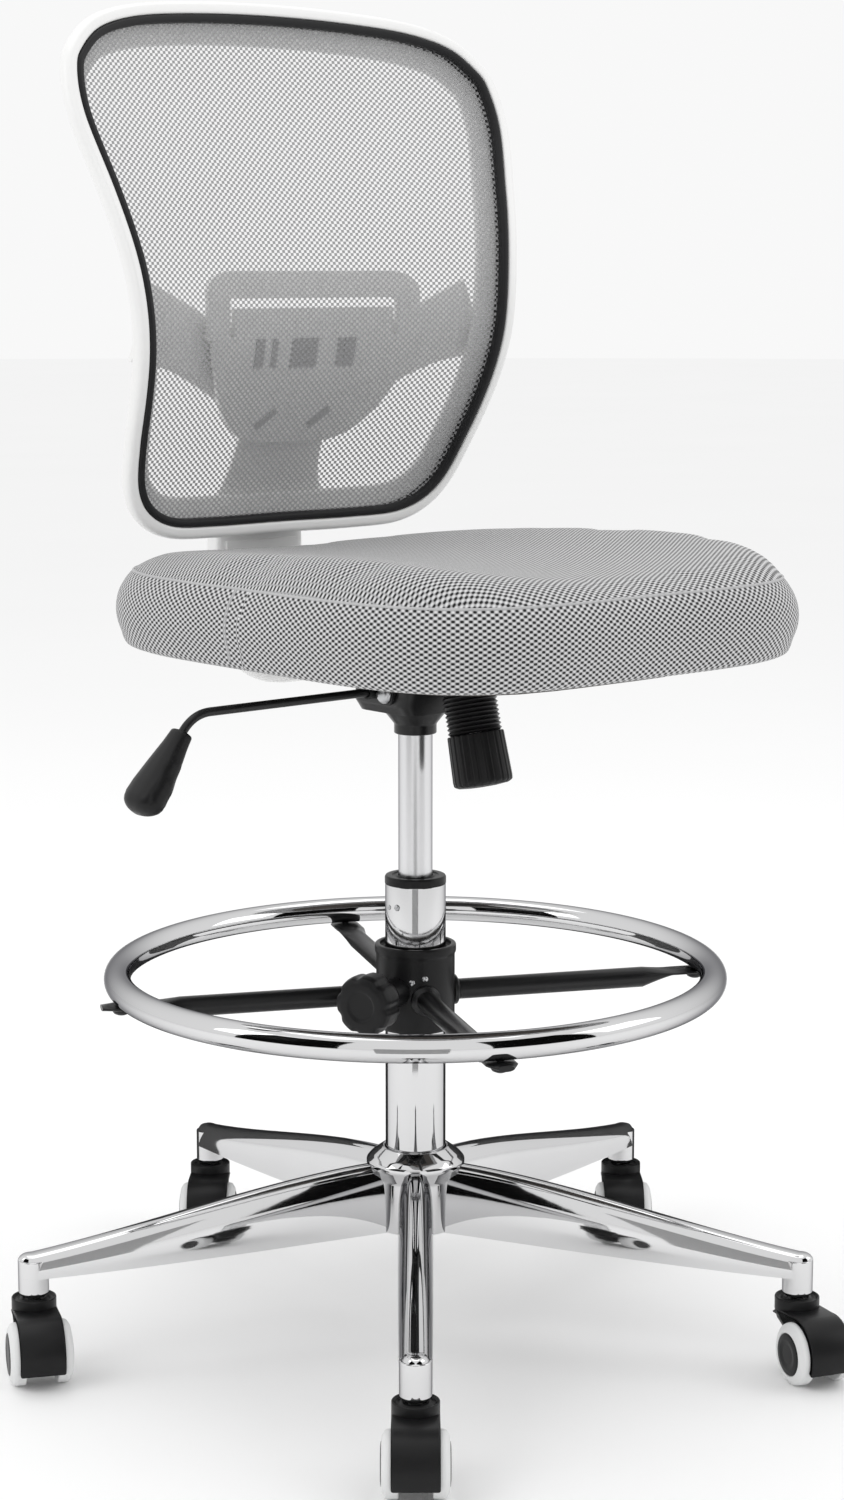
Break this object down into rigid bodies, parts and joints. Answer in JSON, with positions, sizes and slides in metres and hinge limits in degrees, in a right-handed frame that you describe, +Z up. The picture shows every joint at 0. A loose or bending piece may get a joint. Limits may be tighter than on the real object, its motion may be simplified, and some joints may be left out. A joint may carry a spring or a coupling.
{
  "type": "drafting chair",
  "caption": "Tall swivel drafting chair: star base on twin-wheel casters, gas lift in a column with a clamped foot ring, tilting padded seat and see-through mesh back with lumbar pad.",
  "frame": {"origin": "on the floor under the column's axis, which is the middle of the base", "axes": "+Z up; the sitter faces -Y, so +X is the sitter's left"},
  "size_m": [0.6816, 0.685, 1.1],
  "materials": {
    "chrome": "polished chrome plate",
    "satin_chrome": "ground hard chrome",
    "steel": "plain steel",
    "black_steel": "black powder coat",
    "black_plastic": "moulded, fine texture",
    "white_plastic": "moulded, satin",
    "tyre": "soft pale polyurethane",
    "gasket": "matt",
    "fabric": "woven spacer fabric",
    "mesh": "open net",
    "wood": "raw plywood",
    "brass": "turned"
  },
  "bodies": {
    "base": {"star_base": "chrome", "column_tube": "chrome", "guide_bushing": "black_plastic", "caster_stem_1": "steel", "caster_stem_2": "steel", "caster_stem_3": "steel", "caster_stem_4": "steel", "caster_stem_5": "steel"},
    "swivel_rod": {"piston_rod": "steel"},
    "mechanism": {"gas_cylinder": "satin_chrome", "tilt_housing": "black_steel", "tilt_axle": "steel", "tension_bolt": "steel", "tension_spring": "black_steel"},
    "release_button": {"release_button": "brass"},
    "lever_bush": {"lever_bush": "black_plastic"},
    "lever": {"lever_rod": "black_steel", "lever_handle": "black_plastic"},
    "tension_knob": {"tension_knob": "black_plastic"},
    "seat": {"seat_plate": "black_steel", "seat_pan": "wood", "seat_cushion": "fabric", "back_upright": "white_plastic", "upright_cover": "white_plastic", "back_frame": "white_plastic", "frame_gasket": "gasket", "back_mesh": "mesh", "back_bracket": "white_plastic"},
    "lumbar_pad": {"lumbar_pad": "white_plastic"},
    "foot_ring": {"foot_ring": "chrome", "foot_ring_collar": "black_plastic", "foot_ring_spoke_1": "black_steel", "foot_ring_spoke_2": "black_steel", "foot_ring_spoke_3": "black_steel", "foot_ring_spoke_4": "black_steel", "foot_ring_screw_1": "black_steel", "foot_ring_screw_2": "black_steel", "foot_ring_screw_3": "black_steel", "foot_ring_screw_4": "black_steel"},
    "clamp_knob": {"clamp_knob": "black_plastic"},
    "caster_1": {"caster_hood_1": "black_plastic", "caster_axle_1": "steel"},
    "wheel_left_1": {"caster_wheel_left_1": "tyre"},
    "wheel_right_1": {"caster_wheel_right_1": "tyre"},
    "caster_2": {"caster_hood_2": "black_plastic", "caster_axle_2": "steel"},
    "wheel_left_2": {"caster_wheel_left_2": "tyre"},
    "wheel_right_2": {"caster_wheel_right_2": "tyre"},
    "caster_3": {"caster_hood_3": "black_plastic", "caster_axle_3": "steel"},
    "wheel_left_3": {"caster_wheel_left_3": "tyre"},
    "wheel_right_3": {"caster_wheel_right_3": "tyre"},
    "caster_4": {"caster_hood_4": "black_plastic", "caster_axle_4": "steel"},
    "wheel_left_4": {"caster_wheel_left_4": "tyre"},
    "wheel_right_4": {"caster_wheel_right_4": "tyre"},
    "caster_5": {"caster_hood_5": "black_plastic", "caster_axle_5": "steel"},
    "wheel_left_5": {"caster_wheel_left_5": "tyre"},
    "wheel_right_5": {"caster_wheel_right_5": "tyre"}
  },
  "joints": [
    {"name": "seat_swivel", "type": "hinge", "parent": "base", "child": "swivel_rod", "pos_m": [0, 0, 0.095], "axis": [0, 0, 1], "continuous": true},
    {"name": "gas_lift", "type": "slide", "parent": "swivel_rod", "child": "mechanism", "axis": [0, 0, 1], "range_m": [-0.11, 0.11]},
    {"name": "valve_button", "type": "slide", "parent": "mechanism", "child": "release_button", "axis": [0, 0, -1], "range_m": [0, 0.0046], "stiffness_N_per_m": 2000},
    {"name": "lever_lift", "type": "hinge", "parent": "mechanism", "child": "lever_bush", "pos_m": [-0.043, 0, 0.543], "axis": [0, 1, 0], "range_deg": [0, 6], "stiffness_Nm_per_rad": 6, "springref_deg": -8.59},
    {"name": "lever_pull", "type": "slide", "parent": "lever_bush", "child": "lever", "axis": [-1, 0, 0], "range_m": [0, 0.01]},
    {"name": "tension_turn", "type": "hinge", "parent": "mechanism", "child": "tension_knob", "pos_m": [0, -0.07, 0.525], "axis": [0, 0.2419, 0.9703], "range_deg": [-720, 720]},
    {"name": "seat_tilt", "type": "hinge", "parent": "mechanism", "child": "seat", "pos_m": [0, -0.015, 0.543], "axis": [-1, 0, 0], "range_deg": [0, 12], "stiffness_Nm_per_rad": 60, "springref_deg": -14.32},
    {"name": "lumbar_height", "type": "slide", "parent": "seat", "child": "lumbar_pad", "axis": [0, 0, 1], "range_m": [-0.01, 0.01]},
    {"name": "foot_ring_height", "type": "slide", "parent": "base", "child": "foot_ring", "axis": [0, 0, 1], "range_m": [-0.09, 0.025]},
    {"name": "clamp_turn", "type": "hinge", "parent": "foot_ring", "child": "clamp_knob", "pos_m": [-0.05673, -0.01953, 0.294], "axis": [-0.9455, -0.3256, 0], "range_deg": [0, 720]},
    {"name": "caster_swivel_1", "type": "hinge", "parent": "base", "child": "caster_1", "pos_m": [-0.21256, -0.24453, 0.06], "axis": [0, 0, 1], "continuous": true},
    {"name": "wheel_roll_left_1", "type": "hinge", "parent": "caster_1", "child": "wheel_left_1", "pos_m": [-0.23356, -0.26868, 0.025], "axis": [0.7547, -0.6561, 0], "continuous": true},
    {"name": "wheel_roll_right_1", "type": "hinge", "parent": "caster_1", "child": "wheel_right_1", "pos_m": [-0.23356, -0.26868, 0.025], "axis": [0.7547, -0.6561, 0], "continuous": true},
    {"name": "caster_swivel_2", "type": "hinge", "parent": "base", "child": "caster_2", "pos_m": [0.16687, -0.27772, 0.06], "axis": [0, 0, 1], "continuous": true},
    {"name": "wheel_roll_left_2", "type": "hinge", "parent": "caster_2", "child": "wheel_left_2", "pos_m": [0.15593, -0.30779, 0.025], "axis": [0.9397, -0.342, 0], "continuous": true},
    {"name": "wheel_roll_right_2", "type": "hinge", "parent": "caster_2", "child": "wheel_right_2", "pos_m": [0.15593, -0.30779, 0.025], "axis": [0.9397, -0.342, 0], "continuous": true},
    {"name": "caster_swivel_3", "type": "hinge", "parent": "base", "child": "caster_3", "pos_m": [0.3157, 0.07288, 0.06], "axis": [0, 0, 1], "continuous": true},
    {"name": "wheel_roll_left_3", "type": "hinge", "parent": "caster_3", "child": "wheel_left_3", "pos_m": [0.2947, 0.04873, 0.025], "axis": [0.7547, -0.6561, 0], "continuous": true},
    {"name": "wheel_roll_right_3", "type": "hinge", "parent": "caster_3", "child": "wheel_right_3", "pos_m": [0.2947, 0.04873, 0.025], "axis": [0.7547, -0.6561, 0], "continuous": true},
    {"name": "caster_swivel_4", "type": "hinge", "parent": "base", "child": "caster_4", "pos_m": [0.02824, 0.32277, 0.06], "axis": [0, 0, 1], "continuous": true},
    {"name": "wheel_roll_left_4", "type": "hinge", "parent": "caster_4", "child": "wheel_left_4", "pos_m": [0.00724, 0.29862, 0.025], "axis": [0.7547, -0.6561, 0], "continuous": true},
    {"name": "wheel_roll_right_4", "type": "hinge", "parent": "caster_4", "child": "wheel_right_4", "pos_m": [0.00724, 0.29862, 0.025], "axis": [0.7547, -0.6561, 0], "continuous": true},
    {"name": "caster_swivel_5", "type": "hinge", "parent": "base", "child": "caster_5", "pos_m": [-0.29824, 0.1266, 0.06], "axis": [0, 0, 1], "continuous": true},
    {"name": "wheel_roll_left_5", "type": "hinge", "parent": "caster_5", "child": "wheel_left_5", "pos_m": [-0.31277, 0.09809, 0.025], "axis": [0.891, -0.454, 0], "continuous": true},
    {"name": "wheel_roll_right_5", "type": "hinge", "parent": "caster_5", "child": "wheel_right_5", "pos_m": [-0.31277, 0.09809, 0.025], "axis": [0.891, -0.454, 0], "continuous": true}
  ],
  "couplings": [
    {"joint": "valve_button", "follows": "lever_lift", "m_per_rad": 0.043}
  ]
}
